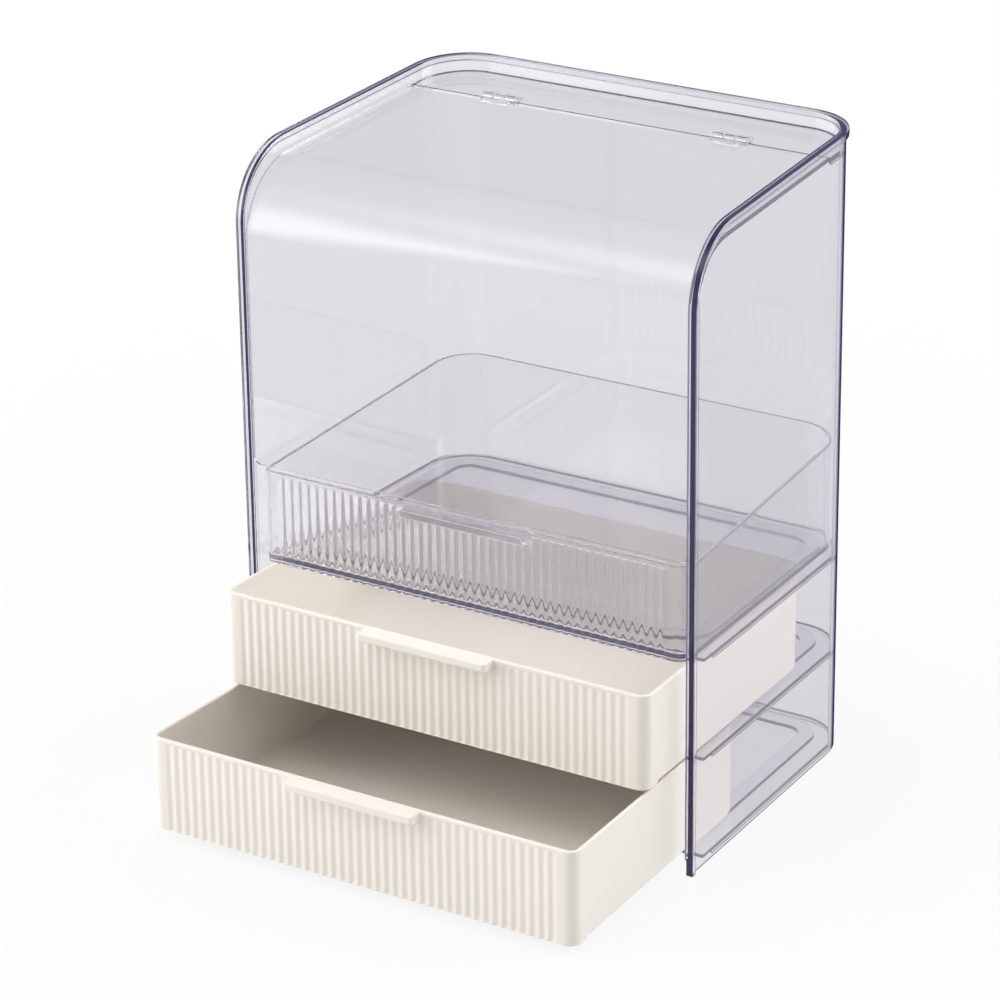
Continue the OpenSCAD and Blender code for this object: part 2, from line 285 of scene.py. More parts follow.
class Sheet:
    """A node tree that nodes are added to and wired in."""

    def __init__(self, tree: bpy.types.NodeTree) -> None:
        """Keeps the tree."""
        self.tree = tree

    @classmethod
    def blank(cls, owner: bpy.types.ID) -> "Sheet":
        """Empties the nodes of a material, a world or a lamp.

        Args:
            owner: The material, world or lamp.

        Returns:
            A sheet on its node tree.
        """
        owner.use_nodes = True
        owner.node_tree.nodes.clear()
        return cls(owner.node_tree)

    def add(
        self, kind: str, values: dict[str | int, object] | None = None, **settings: object
    ) -> bpy.types.Node:
        """Adds a node.

        Args:
            kind: The node's type name.
            values: Values or output sockets for its inputs, by name or number.
            settings: Attributes of the node.

        Returns:
            The new node.
        """
        node = self.tree.nodes.new(kind)
        for key, value in settings.items():
            setattr(node, key, value)
        for key, value in (values or {}).items():
            socket = node.inputs[key]
            if isinstance(value, Socket):
                self.tree.links.new(value, socket)
            else:
                socket.default_value = value
        return node

    def link(self, a: Socket, b: Socket) -> None:
        """Joins output a to input b."""
        self.tree.links.new(a, b)

    def math(self, operation: str, *values: object, clamp: bool = False) -> Socket:
        """Adds a math node and returns its output.

        Args:
            operation: The operation's name.
            values: Its inputs, numbers or sockets.
            clamp: Whether its result is kept from 0 to 1.

        Returns:
            The output socket.
        """
        node = self.add("ShaderNodeMath", dict(enumerate(values)), operation=operation)
        node.use_clamp = clamp
        return node.outputs[0]

    def ramp(
        self,
        value: Socket,
        span: Pair,
        ends: Pair = (0.0, 1.0),
        smooth: bool = False,
    ) -> Socket:
        """Adds a map range node and returns its output.

        Args:
            value: What is mapped.
            span: Where the change starts and where it is over.
            ends: What comes out up to the start and from the end on.
            smooth: Whether the change eases in and out.

        Returns:
            The output socket.
        """
        node = self.add(
            "ShaderNodeMapRange",
            {
                "Value": value,
                "From Min": span[0],
                "From Max": span[1],
                "To Min": ends[0],
                "To Max": ends[1],
            },
        )
        node.interpolation_type = "SMOOTHSTEP" if smooth else "LINEAR"
        return node.outputs[0]

    def blend(self, share: Socket, first: Colour, second: Colour) -> Socket:
        """Mixes share of the second colour into the first, and returns the result."""
        values = {0: share, 6: (*first, 1.0), 7: (*second, 1.0)}
        return self.add("ShaderNodeMix", values, data_type="RGBA").outputs[2]

    def parts(self, vector: Socket) -> Sequence[Socket]:
        """Returns the x, y and z of a vector."""
        return self.add("ShaderNodeSeparateXYZ", {0: vector}).outputs

    def coords(self, name: str) -> Socket:
        """Returns the texture coordinates of that name."""
        return self.add("ShaderNodeTexCoord").outputs[name]


def group_tree(
    kind: str,
    name: str,
    inputs: Sequence[tuple[str, str, object]],
    outputs: Sequence[tuple[str, str]],
) -> tuple[Sheet, bpy.types.Node, bpy.types.Node]:
    """Makes a node group with named sockets.

    Args:
        kind: Type name of the tree.
        name: Name of the group.
        inputs: Name, socket type and default of each input.
        outputs: Name and socket type of each output.

    Returns:
        The group's sheet, its input node and its output node.
    """
    tree = bpy.data.node_groups.new(name, kind)
    for label, socket, default in inputs:
        made = tree.interface.new_socket(label, in_out="INPUT", socket_type=socket)
        if default is not None:
            made.default_value = default
    for label, socket in outputs:
        tree.interface.new_socket(label, in_out="OUTPUT", socket_type=socket)
    sheet = Sheet(tree)
    return sheet, sheet.add("NodeGroupInput"), sheet.add("NodeGroupOutput")


# -------------------- finishes


def moulded_surface() -> bpy.types.NodeTree:
    """Builds the group that gives moulded plastic its faint flow and speckle.

    Returns:
        The group, with Height for a bump, Roughness, and Shade as a soft mask.
    """
    name = "moulded_surface"
    if name in bpy.data.node_groups:
        return bpy.data.node_groups[name]
    number = "NodeSocketFloat"
    sheet, given, out = group_tree(
        "ShaderNodeTree",
        name,
        [
            ("Flow Scale", number, 14.0),
            ("Grain Scale", number, 1400.0),
            ("Grain Share", number, 0.2),
            ("Base Roughness", number, 0.3),
            ("Roughness Spread", number, 0.08),
        ],
        [("Height", number), ("Roughness", number), ("Shade", number)],
    )
    asked = given.outputs
    place = sheet.coords("Object")
    flow = sheet.add(
        "ShaderNodeTexNoise",
        {"Vector": place, "Scale": asked["Flow Scale"], "Detail": 2.0, "Roughness": 0.4},
    ).outputs[0]
    grain = sheet.add(
        "ShaderNodeTexNoise", {"Vector": place, "Scale": asked["Grain Scale"], "Detail": 2.0}
    ).outputs[0]
    height = sheet.add("ShaderNodeMix", {0: asked["Grain Share"], 2: flow, 3: grain})
    centred = sheet.math("SUBTRACT", flow, 0.5)
    spread = sheet.math("MULTIPLY", centred, asked["Roughness Spread"])
    rough = sheet.math("ADD", asked["Base Roughness"], spread, clamp=True)
    sheet.link(height.outputs[0], out.inputs["Height"])
    sheet.link(rough, out.inputs["Roughness"])
    sheet.link(flow, out.inputs["Shade"])
    return sheet.tree


@dataclass(frozen=True)
class Skin:
    """How a finish wears the moulded surface.

    rough is its mean roughness and spread how far that wanders. flow and grain are
    the scales of its slow ripple and its fine speckle, per metre, and speckle is
    the share of the second. strength and reach are those of the bump.
    """

    rough: float
    spread: float
    flow: float
    grain: float
    speckle: float
    strength: float
    reach: float


@dataclass(frozen=True)
class Finish:
    """What every finish has: its name, and whether it holds the lamps' light back."""

    name: str
    shades: bool = field(default=True, kw_only=True)

    def material(self) -> bpy.types.Material:
        """Returns the finish's material, built the first time it is asked for."""
        found = bpy.data.materials.get(self.name)
        if found is not None:
            return found
        material = bpy.data.materials.new(self.name)
        self.paint(Sheet.blank(material))
        return material

    def paint(self, sheet: Sheet) -> None:
        """Builds the nodes of the finish on sheet."""
        raise NotImplementedError

    def wear(self, sheet: Sheet, skin: Skin) -> tuple[dict[str, Socket], Socket]:
        """Adds the moulded surface to a material.

        Args:
            sheet: The material's nodes.
            skin: How the finish wears it.

        Returns:
            Inputs for the finish's shader, and the soft mask.
        """
        worn = sheet.add(
            "ShaderNodeGroup",
            {
                "Flow Scale": skin.flow,
                "Grain Scale": skin.grain,
                "Grain Share": skin.speckle,
                "Base Roughness": skin.rough,
                "Roughness Spread": skin.spread,
            },
            node_tree=moulded_surface(),
        ).outputs
        bump = sheet.add(
            "ShaderNodeBump",
            {"Strength": skin.strength, "Distance": skin.reach, "Height": worn["Height"]},
        )
        return {"Roughness": worn["Roughness"], "Normal": bump.outputs[0]}, worn["Shade"]


@dataclass(frozen=True)
class ClearPlastic(Finish):
    """Clear plastic whose violet tint deepens with its thickness.

    loss is what the plastic takes off in red, green and blue, per metre, and tint
    is what a thin sheet lets through. Where the plastic is looked along and not
    through, the colour edge is painted over it as a diffuse surface. Where edge is
    dark this is painted shade, in place of the light that the plastic loses along
    its length. Where edge is light it is a painted pale rim, in place of lit edges.
    edge_share of it goes on a face that turns away, as it does over edge_span, and
    fold_share for each time that light is thrown back inside the sheet. Of the
    first share, painted_faces leaves only some faces, and faces to the left keep
    lit_side, which paints them lighter where the left lamp falls. Of both shares,
    the middle of the rear wall keeps rear_share. line is a height and half a
    thickness, in millimetres, where the painted colour is PAINTED_LINE_SHADE, a dark
    painted shade line.
    """

    loss: Colour = (45.0, 47.0, 35.0)
    tint: Colour = (0.962, 0.957, 0.967)
    edge: Colour = (0.03, 0.024, 0.11)
    edge_share: float = 0.0
    fold_share: float = 0.0
    edge_span: Pair = (0.70, 0.84)
    line: Pair | None = None
    lit_side: float = 1.0
    painted_faces: EdgePaint = EdgePaint.ALL
    rear_share: float = 1.0
    skin: Skin = Skin(0.02, 0.01, 9.0, 900.0, 0.02, 0.02, 0.001)

    def paint(self, sheet: Sheet) -> None:
        """Builds the glass-like plastic."""
        worn, _ = self.wear(sheet, self.skin)
        tint = (*self.tint, 1.0)
        plastic = sheet.add(
            "ShaderNodeBsdfPrincipled",
            {"Base Color": tint, "IOR": PLASTIC_IOR, "Transmission Weight": 1.0, **worn},
        ).outputs[0]
        if self.edge_share or self.fold_share:
            plastic = self.painted_edges(sheet, plastic)
        density = max(self.loss)
        depth = sheet.add(
            "ShaderNodeVolumeAbsorption",
            {"Color": (*(1 - a / density for a in self.loss), 1.0), "Density": density},
        )
        sheet.add("ShaderNodeOutputMaterial", {"Surface": plastic, "Volume": depth.outputs[0]})

    def painted_edges(self, sheet: Sheet, plastic: Socket) -> Socket:
        """Paints the colour edge over the plastic where the surface is looked along: painted shade
        where it is dark, a painted pale rim where it is light.

        Args:
            sheet: The material's nodes.
            plastic: The clear plastic's shader.

        Returns:
            The mixed shader.
        """
        # painted edge colour: a diffuse surface mixed in where the plastic is looked along
        edge_paint = sheet.add(
            "ShaderNodeBsdfPrincipled",
            {"Base Color": (*self.edge, 1.0), "Roughness": EDGE_PAINT_ROUGH, "Specular IOR Level": 0.0},
        )
        # painted shade: a dark line painted at one height, along the clear drawer's base
        if self.line:
            height = sheet.parts(sheet.coords("Object"))[2]
            near = sheet.math("COMPARE", height, self.line[0] * MM, self.line[1] * MM)
            sheet.link(sheet.blend(near, self.edge, PAINTED_LINE_SHADE), edge_paint.inputs["Base Color"])
        facing = sheet.add("ShaderNodeLayerWeight", {"Blend": 0.5}).outputs["Facing"]
        turned = sheet.ramp(facing, self.edge_span, (0.0, self.edge_share), smooth=True)
        folded = sheet.ramp(facing, FOLD_SPAN, (0.0, self.fold_share), smooth=True)
        # painted light: faces turned left, towards the left lamp, get less painted edge shade and
        # look lighter
        if self.lit_side < 1.0:
            across = sheet.parts(sheet.coords("Normal"))[0]
            lit = sheet.ramp(across, LEFT_SPAN, (self.lit_side, 1.0), smooth=True)
            turned = sheet.math("MULTIPLY", turned, lit)
        if self.painted_faces is not EdgePaint.ALL:
            turned = sheet.math("MULTIPLY", turned, self.at_edge(sheet))
        inside = sheet.add("ShaderNodeNewGeometry").outputs["Backfacing"]
        gap = sheet.math("SUBTRACT", folded, turned)
        share = sheet.math("MULTIPLY_ADD", gap, inside, turned)
        if self.rear_share < 1.0:
            share = sheet.math("MULTIPLY", share, self.off_rear(sheet))
        mix = sheet.add("ShaderNodeMixShader", {0: share, 1: plastic, 2: edge_paint.outputs[0]})
        return mix.outputs[0]

    def at_edge(self, sheet: Sheet) -> Socket:
        """Masks the faces that get the painted edge colour, and leaves flat walls out.

        Args:
            sheet: The material's nodes.

        Returns:
            1 on the faces that painted_faces names, and 0 on the others.
        """
        nx, ny, _ = sheet.parts(sheet.coords("Normal"))
        if self.painted_faces is EdgePaint.SIDES:
            return sheet.ramp(sheet.math("ABSOLUTE", nx), SIDE_SPAN)
        _, y, z = sheet.parts(sheet.coords("Object"))
        ahead = sheet.math("MAXIMUM", sheet.math("SUBTRACT", BEND.y * MM, y), 0.0)
        level = sheet.math("MULTIPLY_ADD", y, -BEND.slope, z)
        above = sheet.math("MAXIMUM", sheet.math("SUBTRACT", level, BEND.z * MM), 0.0)
        square = sheet.math("MULTIPLY_ADD", ahead, ahead, sheet.math("MULTIPLY", above, above))
        rim = sheet.ramp(
            sheet.math("SQRT", square),
            ((BEND.radius - RIM_BAND[0]) * MM, (BEND.radius - RIM_BAND[1]) * MM),
        )
        slant = sheet.math("ABSOLUTE", sheet.math("MULTIPLY", nx, ny))
        return sheet.math("MAXIMUM", rim, sheet.ramp(slant, CORNER_SPAN))

    def off_rear(self, sheet: Sheet) -> Socket:
        """Returns 1, and rear_share along the middle of the rear wall."""
        x, y, _ = sheet.parts(sheet.coords("Object"))
        aside = sheet.ramp(
            sheet.math("ABSOLUTE", x), (REAR_X[0] * MM, REAR_X[1] * MM), (self.rear_share, 1.0)
        )
        return sheet.math("MAXIMUM", aside, sheet.math("LESS_THAN", y, REAR_Y * MM))


@dataclass(frozen=True)
class CreamPlastic(Finish):
    """Opaque satin plastic in a warm off-white, with a faint second shade."""

    colour: Colour = (0.89, 0.844, 0.775)
    shade: Colour = (0.86, 0.809, 0.735)
    shade_share: float = 0.35
    skin: Skin = Skin(0.38, 0.1, 18.0, 2600.0, 0.6, 0.12, 0.0002)

    def paint(self, sheet: Sheet) -> None:
        """Builds the satin plastic."""
        worn, mask = self.wear(sheet, self.skin)
        faded = sheet.math("MULTIPLY", mask, self.shade_share)
        colour = sheet.blend(faded, self.colour, self.shade)
        plastic = sheet.add(
            "ShaderNodeBsdfPrincipled", {"Base Color": colour, "IOR": PLASTIC_IOR, **worn}
        )
        sheet.add("ShaderNodeOutputMaterial", {"Surface": plastic.outputs[0]})


@dataclass(frozen=True)
class PinSteel(Finish):
    """Drawn steel of the hinge pins."""

    colour: Colour = (0.75, 0.75, 0.77)
    skin: Skin = Skin(0.3, 0.2, 200.0, 5000.0, 0.7, 0.1, 0.0001)

    def paint(self, sheet: Sheet) -> None:
        """Builds the steel."""
        worn, _ = self.wear(sheet, self.skin)
        steel = sheet.add(
            "ShaderNodeBsdfPrincipled",
            {"Base Color": (*self.colour, 1.0), "Metallic": 1.0, **worn},
        )
        sheet.add("ShaderNodeOutputMaterial", {"Surface": steel.outputs[0]})


# painted edge shade: dark navy painted where the rim, front edges and bent corners are looked
# along, less on the left and along the mid rear wall
CASING_FINISH = ClearPlastic(
    "tinted_clear_casing",
    shades=False,
    edge_share=1.0,
    fold_share=0.6,
    edge_span=(0.59, 0.73),
    lit_side=0.3,
    painted_faces=EdgePaint.RIM,
    rear_share=0.25,
)
# painted edge shade in grey violet where the shelves are looked along
SHELF_FINISH = ClearPlastic(
    "tinted_clear_shelf",
    shades=False,
    edge=(0.24, 0.23, 0.32),
    edge_share=0.3,
    fold_share=0.3,
)
# painted edge shade on the lid's side edges
LID_FINISH = ClearPlastic(
    "tinted_clear_lid",
    shades=False,
    loss=(22.0, 24.0, 17.0),
    tint=(1.0, 0.995, 1.0),
    edge_share=0.5,
    fold_share=0.25,
    painted_faces=EdgePaint.SIDES,
)
# painted pale rim where the drawer is looked along, and a painted shade line at the height of its
# base
DRAWER_FINISH = ClearPlastic(
    "clear_drawer_plastic",
    shades=False,
    loss=(11.0, 12.0, 9.0),
    tint=(0.99, 0.985, 0.99),
    edge=(0.7, 0.69, 0.73),
    edge_share=0.5,
    fold_share=0.35,
    line=(109.5, 0.5),
)
# painted pale edges where the hinge leaves are looked along
LEAF_FINISH = ClearPlastic(
    "clear_hinge_plastic",
    shades=False,
    loss=(8.0, 8.0, 7.0),
    tint=(0.99, 0.99, 0.99),
    edge=(0.7, 0.69, 0.72),
    edge_share=0.5,
    fold_share=0.5,
)
CREAM_FINISH = CreamPlastic("cream_satin")
PIN_FINISH = PinSteel("drawn_pin_steel")


# -------------------- shared shape


@dataclass(frozen=True)
class Envelope:
    """Outer shape that the casing, lid and drawers share, in millimetres."""

    width_front: float = 250.0
    width_rear: float = 237.0
    depth: float = 177.0
    height: float = 318.0
    top_rise: float = 8.3

    @property
    def front(self) -> float:
        """Y of the front edges."""
        return -self.depth / 2

    @property
    def lean(self) -> float:
        """How far a side wall comes in for each millimetre of depth."""
        return (self.width_front - self.width_rear) / 2 / self.depth

    @property
    def slope(self) -> float:
        """Rise of the top for each millimetre of depth."""
        return self.top_rise / self.depth

    def half_width(self, y: float) -> float:
        """Half the outer width at depth y."""
        return self.width_front / 2 - self.lean * (y - self.front)

    def top(self, y: float, drop: float = 0.0) -> float:
        """Height of the top edge at depth y, lowered by drop."""
        return self.height - drop + self.slope * (y - self.front)


# -------------------- casing


@dataclass
class Casing:
    """Clear shell with its rim, the three shelves and the hinge strip."""

    edge: float = 0.35
    shelf_edge: float = 0.3
    shelves: tuple[str, ...] = ("base_shelf", "middle_shelf", "upper_shelf")

    def build(self) -> None:
        """Builds every clear piece that doesn't move."""
        shell = copy_of("casing", "casing_shell", self.edge)
        placed(shell, CASING_FINISH, "casing", "casing")
        for node in self.shelves:
            plate = copy_of(node, f"{node}_plate", self.shelf_edge)
            placed(plate, SHELF_FINISH, "casing", node)
        strip = copy_of("hinge_strip", "hinge_strip_panel", self.edge)
        placed(strip, LID_FINISH, "casing", "hinge_strip")


# -------------------- lid


@dataclass
class Lid:
    """Curved clear lid, one sheet from its rear seam to its lower front edge."""

    shape: Envelope = field(default_factory=Envelope)
    thick: float = 2.4
    drop: float = 7.9
    setback: float = 1.1
    radius: float = 37.0
    side_gap: float = 3.5
    low_z: float = 160.3
    corner: float = 4.0
    rear_y: float = 51.8
    hinge_x: float = 65.0
    notch_w: float = 19.8
    notch_y: float = 49.25
    ribs: tuple[float, ...] = (0.0, 14.0, 28.0, 42.0, 88.0, 101.0, 113.0)
    corner_steps: int = 10
    wall_steps: int = 9
    bend_steps: int = 40
    top_steps: int = 8
    edge: float = 0.4
    edge_facets: int = 3

    def rows(self) -> list[Point]:
        """Lists the sheet's rows from the lower front edge to the rear seam.

        Returns:
            Depth, height and half width of each row.
        """
        y0 = self.shape.front + self.setback
        yc = y0 + self.radius
        tilt = math.atan(self.shape.slope)
        zc = self.shape.top(yc, self.drop) - self.radius / math.cos(tilt)
        found: list[Point] = []
        for i in range(self.corner_steps + 1):
            turn = math.pi / 2 * i / self.corner_steps
            rise = self.corner * (1 - math.cos(turn))
            cut = self.corner * (1 - math.sin(turn))
            found.append((y0, self.low_z + rise, self.half(y0) - cut))
        for i in range(1, self.wall_steps):
            z = self.low_z + self.corner + (zc - self.low_z - self.corner) * i / self.wall_steps
            found.append((y0, z, self.half(y0)))
        end = math.pi / 2 - tilt
        for i in range(self.bend_steps + 1):
            turn = end * i / self.bend_steps
            y = yc - self.radius * math.cos(turn)
            z = zc + self.radius * math.sin(turn)
            found.append((y, z, self.half(y)))
        y_start = found[-1][0]
        steps = self.top_steps
        depths = [y_start + (self.notch_y - y_start) * i / steps for i in range(1, steps + 1)]
        for y in (*depths, self.rear_y):
            found.append((y, self.shape.top(y, self.drop), self.half(y)))
        return found

    def half(self, y: float) -> float:
        """Half the lid's width at depth y."""
        return self.shape.half_width(y) - self.side_gap

    def columns(self) -> list[float]:
        """Lists the x of the inner columns, notch sides among them."""
        notch = (self.hinge_x - self.notch_w / 2, self.hinge_x + self.notch_w / 2)
        half = [*self.ribs, *notch]
        return sorted([-x for x in half if x > 0] + half)

    def build(self) -> None:
        """Builds the lid."""
        rows, inner = self.rows(), self.columns()
        verts: list[Point] = []
        for y, z, half in rows:
            verts.extend((x, y, z) for x in (-half, *inner, half))
        wide = len(inner) + 2
        faces = []
        last = len(rows) - 2
        for r in range(len(rows) - 1):
            for c in range(wide - 1):
                a = r * wide + c
                middle = (verts[a + wide][0] + verts[a + wide + 1][0]) / 2
                if r == last and abs(abs(middle) - self.hinge_x) < self.notch_w / 2:
                    continue
                faces.append((a, a + 1, a + 1 + wide, a + wide))
        sheet = object_from("lid_panel", verts, faces)
        if sheet.data.polygons[0].normal.y >= 0:
            sheet.data.flip_normals()
        thick = sheet.modifiers.new("thick", "SOLIDIFY")
        thick.thickness = self.thick * MM
        thick.offset = -1.0
        thick.use_even_offset = True
        thick.use_quality_normals = True
        baked(sheet)
        eased(sheet, self.edge, self.edge_facets)
        placed(sheet, LID_FINISH, "lid", "lid")


# -------------------- hinges


@dataclass
class Hinges:
    """Two small clear hinges, each of two leaves on a steel pin."""

    edge: float = 0.2

    def build(self) -> None:
        """Builds both hinges."""
        for side in Side:
            for leaf in Leaf:
                node = f"{side.value}_{leaf.name.lower()}_leaf"
                piece = copy_of(node, f"{node}_moulding", self.edge)
                placed(piece, LEAF_FINISH, leaf.value, node)
            node = f"{side.value}_hinge_pin"
            pin = copy_of(node, f"{node}_rod", self.edge)
            placed(pin, PIN_FINISH, "casing", node)


# -------------------- drawers


def fluting_tree() -> bpy.types.NodeTree:
    """Builds the geometry nodes that cut upright grooves into a drawer's face.

    Returns:
        The tree. Lengths are in metres.
    """
    name = "fluting"
    if name in bpy.data.node_groups:
        return bpy.data.node_groups[name]
    number = "NodeSocketFloat"
    sheet, given, out = group_tree(
        "GeometryNodeTree",
        name,
        [
            ("Geometry", "NodeSocketGeometry", None),
            ("Pitch", number, 0.005),
            ("Depth", number, 0.0008),
            ("Half Width", number, 0.11),
            ("Face Y", number, 0.0),
            ("Top Z", number, 0.05),
            ("Fade", number, 0.003),
            ("Finish", "NodeSocketMaterial", None),
        ],
        [("Geometry", "NodeSocketGeometry")],
    )
    source = given.outputs
    x, y, z = sheet.parts(sheet.add("GeometryNodeInputPosition").outputs[0])
    turn = sheet.math("DIVIDE", sheet.math("MULTIPLY", x, 2 * math.pi), source["Pitch"])
    wave = sheet.math("MULTIPLY_ADD", sheet.math("COSINE", turn), -0.5, 0.5)
    inside = sheet.math("LESS_THAN", sheet.math("ABSOLUTE", x), source["Half Width"])
    on_face = sheet.math("COMPARE", y, source["Face Y"], FACE_NEAR)
    below = sheet.math("SUBTRACT", source["Top Z"], z)
    back = sheet.math("SUBTRACT", 1.0, sheet.math("DIVIDE", below, source["Fade"], clamp=True))
    left = sheet.math("SUBTRACT", 1.0, sheet.math("MULTIPLY", back, back), clamp=True)
    depth = sheet.math("MULTIPLY", source["Depth"], wave)
    for mask in (inside, on_face, sheet.math("SQRT", left)):
        depth = sheet.math("MULTIPLY", depth, mask)
    shift = sheet.add("ShaderNodeCombineXYZ", {1: depth})
    moved = sheet.add(
        "GeometryNodeSetPosition", {"Geometry": source["Geometry"], "Offset": shift.outputs[0]}
    )
    real = sheet.add("GeometryNodeRealizeInstances", {"Geometry": moved.outputs[0]})
    dressed = sheet.add(
        "GeometryNodeSetMaterial", {"Geometry": real.outputs[0], "Material": source["Finish"]}
    )
    sheet.link(dressed.outputs[0], out.inputs["Geometry"])
    return sheet.tree


@dataclass
class Drawer:
    """Drawer with a fluted face, a handle bar and a lip below the face.

    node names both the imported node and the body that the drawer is. out is how far
    it stands open at rest, and rise how much its rim climbs to the back.
    """

    node: str
    finish: Finish
    slot: str
    base_z: float
    out: float = 0.0
    rise: float = 0.0
    shape: Envelope = field(default_factory=Envelope)
    length: float = 168.5
    height: float = 47.4
    wall: float = 2.0
    floor: float = 2.0
    inset: float = 5.4
    setback: float = 4.0
    front_r: float = 5.5
    back_r: float = 23.0
    lip_drop: float = 1.4
    lip_l: float = 10.5
    pitch: float = 5.0
    groove: float = 0.8
    flutes: int = 44
    band: float = 1.6
    fade: float = 3.0
    rim_r: float = 0.75
    foot_r: float = 0.9
    floor_r: float = 1.6
    handle_l: float = 72.0
    handle_d: float = 8.0
    handle_t: float = 4.0
    handle_root: float = 6.5
    handle_r: float = 1.5
    handle_edge: float = 0.7
    flute_facets: int = 12
    fade_facets: int = 12
    front_facets: int = 12
    back_facets: int = 24
    edge_facets: int = 4
    handle_facets: int = 6
    face_stops: tuple[float, ...] = (0.5, 1.0)
    side_stops: tuple[float, ...] = (0.25, 0.5, 0.75, 1.0)
    back_stops: tuple[float, ...] = (0.66, 0.33, 0.0)
    face_levels: tuple[float, ...] = (1.0, 20.0)
    fade_reach: float = 1.2

    @property
    def face_y(self) -> float:
        """Y of the crests of the closed drawer's flutes."""
        return self.shape.front + self.setback - self.groove

    @property
    def back_y(self) -> float:
        """Y of the closed drawer's back."""
        return self.shape.front + self.setback + self.length

    @property
    def lip_y(self) -> float:
        """Y at which the closed drawer's lip ends."""
        return self.shape.front + self.setback + self.lip_l

    def outline(
        self, inset: float, y0: float, y1: float, front_r: float, back_r: float
    ) -> list[Pair]:
        """Draws half the drawer's plan, from the middle of its face to the middle of its back.

        Args:
            inset: Distance of the sides from the casing's outer wall.
            y0: Depth of the face.
            y1: Depth of the back.
            front_r: Radius of the front corner.
            back_r: Radius of the back corner.

        Returns:
            Points x, y on the right half.
        """
        lean = math.atan(self.shape.lean)
        yf, yb = y0 + front_r, y1 - back_r
        xf = self.shape.half_width(yf) - inset - front_r / math.cos(lean)
        xb = self.shape.half_width(yb) - inset - back_r / math.cos(lean)
        flute_half = self.flutes * self.pitch / 2
        steps = self.flutes // 2 * self.flute_facets
        points = [(flute_half * i / steps, y0) for i in range(steps + 1)]
        points += [(flute_half + (xf - flute_half) * t, y0) for t in self.face_stops]
        for i in range(1, self.front_facets + 1):
            a = -math.pi / 2 + (math.pi / 2 + lean) * i / self.front_facets
            points.append((xf + front_r * math.cos(a), yf + front_r * math.sin(a)))
        side_a, side_b = points[-1], (xb + back_r * math.cos(lean), yb + back_r * math.sin(lean))
        lip_y = self.lip_y
        for y in (lip_y, lip_y, *(lip_y + (side_b[1] - lip_y) * t for t in self.side_stops)):
            t = (y - side_a[1]) / (side_b[1] - side_a[1])
            points.append((side_a[0] + (side_b[0] - side_a[0]) * t, y))
        for i in range(1, self.back_facets + 1):
            a = lean + (math.pi / 2 - lean) * i / self.back_facets
            points.append((xb + back_r * math.cos(a), yb + back_r * math.sin(a)))
        return points + [(xb * t, y1) for t in self.back_stops]

    @staticmethod
    def ring(half: list[Pair]) -> list[Pair]:
        """Mirrors half a plan into a whole ring of points."""
        return half + [(-x, y) for x, y in reversed(half[1:-1])]

    def rim_z(self, y: float) -> float:
        """Height of the rim at depth y."""
        start = self.shape.front + self.setback + self.front_r
        share = min(max((y - start) / (self.back_y - start), 0.0), 1.0)
        return self.base_z + self.height + self.rise * share

    def body(self) -> bpy.types.Object:
        """Builds the drawer's tray, with an even face.

        Returns:
            The tray as one closed mesh.
        """
        y0, y1 = self.face_y, self.back_y
        outer = self.ring(self.outline(self.inset, y0, y1, self.front_r + self.groove, self.back_r))
        inner = self.ring(
            self.outline(
                self.inset + self.wall,
                y0 + self.groove + self.wall,
                y1 - self.wall,
                self.front_r - self.wall,
                self.back_r - self.wall,
            )
        )
        n = len(outer)
        in_lip = [y < self.lip_y - SAME for _, y in outer]
        for i, (x, y) in enumerate(outer):
            if abs(y - self.lip_y) < SAME:  # two columns stand here, and the front one has the lip
                twin_next = abs(outer[(i + 1) % n][1] - self.lip_y) < SAME
                in_lip[i] = twin_next == (x > 0)
        columns = [self.column(outer[i], inner[i], in_lip[i]) for i in range(n)]
        tall = len(columns[0])
        verts = [p for column in columns for p in column]
        faces: list[Sequence[int]] = []
        for i in range(n):
            j = (i + 1) % n
            for k in range(tall - 1):
                faces.append((i * tall + k, j * tall + k, j * tall + k + 1, i * tall + k + 1))
        faces.append([i * tall for i in range(n)])
        faces.append([i * tall + tall - 1 for i in reversed(range(n))])
        return object_from(f"{self.node}_tray", verts, faces)

    def column(self, outer: Pair, inner: Pair, in_lip: bool) -> list[Point]:
        """Lists the points of one upright cut through the drawer's wall.

        Args:
            outer: Point of the outer outline.
            inner: Point of the inner outline.
            in_lip: Whether the face's lip hangs below this cut.

        Returns:
            Points from the underside, out, up, over the rim and down to the floor.
        """
        way = Vector((inner[0] - outer[0], inner[1] - outer[1]))
        span = way.length
        way.normalize()
        low = self.base_z - (self.lip_drop if in_lip else 0.0)
        top = self.rim_z(outer[1])
        floor = self.base_z + self.floor
        n = self.edge_facets
        quarter = [math.pi / 2 * k / n for k in range(n + 1)]
        rising = [(1 - math.sin(a), 1 - math.cos(a)) for a in quarter]
        falling = [(v, u) for u, v in rising]
        inner_foot = self.foot_r if in_lip else 0.0
        path: list[Pair] = [(span, self.base_z), (span, low + inner_foot), (span - inner_foot, low)]
        path += [(self.foot_r * u, low + self.foot_r * v) for u, v in rising]
        path += [(0.0, self.base_z + level) for level in self.face_levels]
        flute_top = self.base_z + self.height - self.band
        n = self.fade_facets
        for k in range(n + 1):
            below = self.fade * self.fade_reach * (1 - math.sin(math.pi / 2 * k / n))
            path.append((0.0, flute_top - below))
        path += [(self.rim_r * u, top - self.rim_r * v) for u, v in falling]
        path += [(span - self.rim_r * u, top - self.rim_r * v) for u, v in rising]
        path += [(span + self.floor_r * u, floor + self.floor_r * v) for u, v in falling]
        return [(outer[0] + way.x * s, outer[1] + way.y * s, z) for s, z in path]

